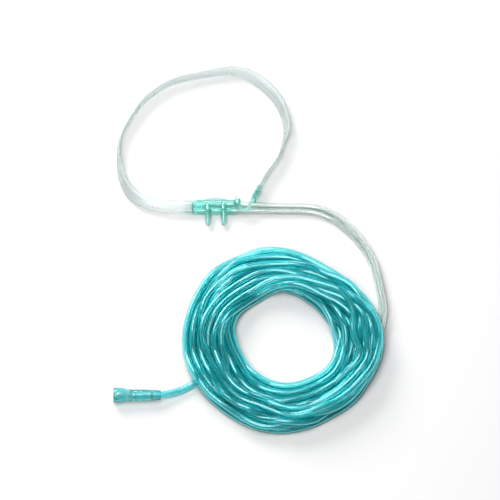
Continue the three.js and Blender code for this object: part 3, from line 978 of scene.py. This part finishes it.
@dataclass
class HookAdjuster:
    """The sleeve on the strap's end, and its tapered tail that hooks through the eyelet."""

    start: tuple = (49.7, -40.5)
    turn: float = -116.7
    length: float = 12.5
    height: float = 11.5
    thickness: float = 3.6
    pocket_depth: float = 6.0
    pocket_half: float = 1.2
    strap_z: float = 5.327
    strap_half: float = 5.55
    tail: float = 3.4
    tail_tip: float = 2.2
    tail_z: float = 9.6
    eyelet: tuple = (29.5, -55.8)
    eyelet_turn: float = 18.0

    # The tail's bow between the sleeve and the eyelet: x, y and height over tail_z
    BOW = ((41.4, -57.5, 0.0), (39.2, -62.2, -0.4), (36.6, -64.9, -0.6), (34.2, -62.9, -0.2))

    def tail_line(self) -> np.ndarray:
        """Centreline of the tail, from inside the sleeve to past the eyelet."""
        z = self.tail_z
        along = heading(self.turn)
        base = Vector((*self.start, z)) + along * (self.length - 4)
        through = heading(90 + self.eyelet_turn)
        eye = Vector((*self.eyelet, z))
        bow = [(x, y, z + rise) for x, y, rise in self.BOW]
        return smooth_line(
            [base, base + along * 5, *bow, eye - through * 3, eye, eye + through * 4.6], 0.7
        )

    def placed_block(self, x0: float, x1: float, half: float, z0: float, z1: float, edge: float) -> BMesh:
        """A block in the sleeve's frame, with rounded edges where edge is above 0."""
        turn = Matrix.Rotation(math.radians(self.turn), 4, "Z")
        place = Matrix.Translation(Vector((*self.start, 0.0)) * MM) @ turn
        centre = Matrix.Translation(Vector(((x0 + x1) / 2, 0.0, (z0 + z1) / 2)) * MM)
        bm = bmesh.new()
        rounded_block(bm, (x1 - x0, 2 * half, z1 - z0), place @ centre, edge)
        return bm

    def build(self, material: Material) -> Object:
        """Joins the sleeve and the tail and cuts the strap's pocket."""
        line = self.tail_line()
        size = np.interp(np.arange(len(line)), (0, len(line) - 1), (self.tail / 2, self.tail_tip / 2))
        tail = bmesh.new()
        sweep(tail, circle_outline(1.0, 24), section_frames(line, size=size))
        sleeve = self.placed_block(0.0, self.length, self.thickness / 2, 0.0, self.height, 0.7)
        pocket_z = (self.strap_z - self.strap_half, self.strap_z + self.strap_half)
        pocket = self.placed_block(-2.0, self.pocket_depth, self.pocket_half, *pocket_z, 0.0)
        piece = moulded("hook_adjuster", [sleeve, tail], [pocket], 0.2, 4)
        return finished(piece, material, Slot.TINTED, "strap_adjuster")


@dataclass
class WyeFitting:
    """The Y fitting under the coil's right edge, with sockets for the branch tubes and the supply tube."""

    start: tuple = (152.5, -177.5)
    turn: float = -100.0
    axis_z: float = 4.2
    length: float = 26.0
    arm_length: float = 9.0
    throat_length: float = 7.0
    arm_spacing: float = 7.2
    arm: float = 7.0
    stem: float = 8.4
    arm_socket: float = 5.4
    stem_socket: float = 6.8
    socket_depth: float = 6.0
    arm_bore: float = 3.0
    stem_bore: float = 4.0

    def rods(self, parts: list) -> BMesh:
        """Rods in the fitting's frame, each as start x, start y, end x, end y and diameter."""
        turn = Matrix.Rotation(math.radians(self.turn), 4, "Z")
        place = Matrix.Translation(Vector((*self.start, self.axis_z))) @ turn
        bm = bmesh.new()
        for x0, y0, x1, y1, diameter in parts:
            straight_rod(bm, place @ Vector((x0, y0, 0)), place @ Vector((x1, y1, 0)), diameter / 2)
        return bm

    def build(self, material: Material) -> Object:
        """Joins and cuts the fitting."""
        half = self.arm_spacing / 2
        stem_start = self.arm_length + self.throat_length
        throat = self.rods(
            [(self.arm_length - 2, y, self.arm_length, y, self.arm) for y in (-half, half)]
            + [(stem_start, 0, stem_start + 2, 0, self.stem)]
        )
        hull = bmesh.ops.convex_hull(throat, input=throat.verts)
        bmesh.ops.delete(throat, geom=hull["geom_interior"], context="VERTS")
        inner = [f for f in throat.faces if f not in set(hull["geom"])]
        bmesh.ops.delete(throat, geom=inner, context="FACES")
        solids = [throat, self.rods([(stem_start, 0, self.length, 0, self.stem)])]
        solids += [self.rods([(0, y, self.arm_length, y, self.arm)]) for y in (-half, half)]
        hollows = [self.rods([(-1, y, self.socket_depth, y, self.arm_socket)]) for y in (-half, half)]
        hollows += [self.rods([(1, y, stem_start + 1, 0, self.arm_bore)]) for y in (-half, half)]
        hollows += [
            self.rods([(stem_start, 0, self.length + 1, 0, self.stem_bore)]),
            self.rods([(self.length - self.socket_depth, 0, self.length + 1, 0, self.stem_socket)]),
        ]
        piece = moulded("wye_fitting", solids, hollows, 0.28, 5)
        return finished(piece, material, Slot.TINTED, "y_fitting")


@dataclass
class PushConnector:
    """The flared push-on connector: a wide mouth, three grip rings and a barrel that tapers to the tube."""

    mouth_x: float = -78.8
    axis_y: float = -241.8
    length: float = 41.4
    flare: float = 12.8
    flare_length: float = 11.0
    neck: float = 10.0
    neck_x: float = 12.6
    ring: float = 11.0
    ring_pitch: float = 5.8
    ring_count: int = 3
    barrel_end: float = 8.2
    mouth_bore: float = 9.4
    mouth_bore_end: float = 8.0
    mouth_depth: float = 15.0
    through_bore: float = 4.6
    socket: float = 6.8
    socket_depth: float = 9.0

    def profile(self) -> list:
        """The closed profile as (distance from the mouth, radius)."""
        flare, neck = self.flare / 2, self.neck / 2
        points = [
            (0.0, flare - 0.6), (0.15, flare - 0.25), (0.6, flare), (3.0, flare),
            (self.flare_length * 0.6, flare - 0.1), (self.flare_length * 0.8, (flare + neck) / 2 + 0.25),
            (self.flare_length, neck + 0.35), (self.neck_x, neck - 0.2),
        ]
        rings = self.neck_x + 1
        for i in range(self.ring_count):
            x = rings + i * self.ring_pitch
            r = self.ring / 2 - i * 0.12
            points += [
                (x, neck - 0.2), (x + 0.25, r - 0.2), (x + 0.6, r), (x + 1.4, r), (x + 1.8, r - 0.2),
                (x + 2.1, neck - 0.3),
            ]
        end, stop = self.barrel_end / 2, self.length - self.socket_depth
        socket, through, mouth = self.socket / 2, self.through_bore / 2, self.mouth_bore / 2
        points += [
            (rings + self.ring_count * self.ring_pitch, neck - 0.3), (self.length - 0.6, end),
            (self.length - 0.15, end - 0.15), (self.length, end - 0.4), (self.length, socket + 0.15),
            (self.length - 0.4, socket), (stop, socket), (stop, through), (self.mouth_depth, through),
            (self.mouth_depth, self.mouth_bore_end / 2), (0.5, mouth), (0.0, mouth + 0.4),
        ]
        return points + points[:1]

    def build(self, material: Material) -> Object:
        """Turns the connector."""
        bm = bmesh.new()
        axis = Vector((0.0, self.axis_y, self.flare / 2)) * MM
        turned(bm, [(self.mouth_x + x, r) for x, r in self.profile()], axis, 72)
        piece = new_object("push_connector", mesh_of(bm, "push_connector"))
        bevel = piece.modifiers.new("soft_edges", "BEVEL")
        bevel.width = 0.15 * MM
        bevel.segments = 2
        bevel.limit_method = "ANGLE"
        bevel.angle_limit = math.radians(35)
        applied(piece).data.shade_smooth()
        return finished(piece, material, Slot.TINTED, "supply_connector")


def main() -> None:
    """Builds the scene: camera and cords first, with the pieces on them, then the rest."""
    logging.basicConfig(level=logging.INFO, format="%(name)s %(message)s")
    studio = Studio()
    studio.camera()
    finishes = (TUBE_PVC, BRANCH_PVC, NOSE_PVC, FITTING_PVC, STRAP_PVC)
    tube, branch, nose, fitting, strap = (finish.material() for finish in finishes)
    connector = PushConnector().build(fitting)
    wye = WyeFitting().build(fitting)
    SupplyTube().build(tube, connector)
    BranchTubes().build(branch, wye)
    NosePiece().build(nose)
    HeadStrap().build(strap)
    HookAdjuster().build(nose)
    studio.floor()
    studio.lights()
    studio.look()
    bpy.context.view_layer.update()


if __name__ == "__main__":
    main()
